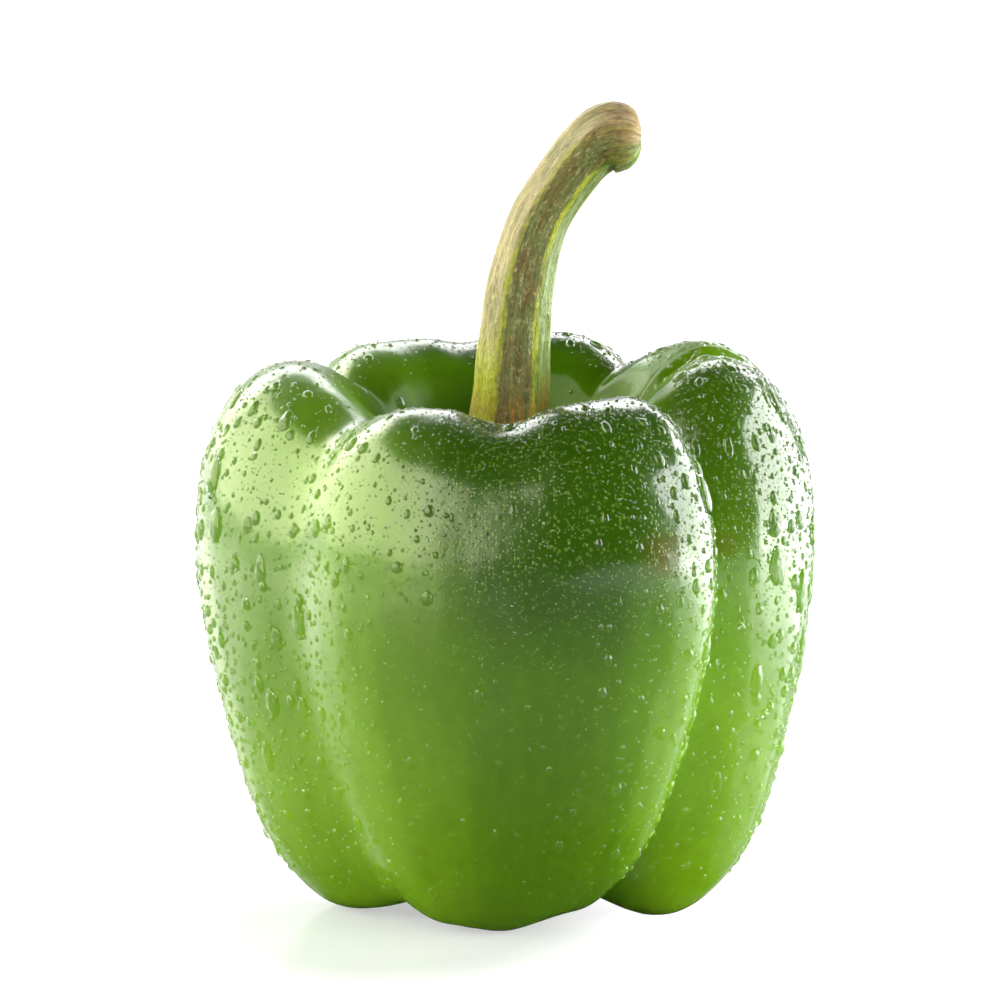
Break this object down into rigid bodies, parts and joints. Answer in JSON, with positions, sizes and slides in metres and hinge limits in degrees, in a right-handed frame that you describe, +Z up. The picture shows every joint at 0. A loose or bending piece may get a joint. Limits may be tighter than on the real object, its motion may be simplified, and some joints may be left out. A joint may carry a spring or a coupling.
{
  "type": "bell pepper",
  "caption": "Blocky lobed sweet pepper with a sunken calyx and a long curved ribbed stem, standing upright on the tips of its lobes.",
  "frame": {"origin": "on the floor plane the lobe tips rest on, under the middle of the fruit's box", "axes": "+Z up along the fruit's axis from the blossom end to the stem, the broadest lobe faces -Y, and the stem bends towards +X"},
  "size_m": [0.0906, 0.0878, 0.1181],
  "materials": {
    "fruit_skin": "waxy gloss",
    "calyx_skin": "satin",
    "stem_bark": "fibrous matt"
  },
  "bodies": {
    "root": {"fruit": "fruit_skin", "calyx": "calyx_skin", "stem": "stem_bark"}
  },
  "joints": []
}
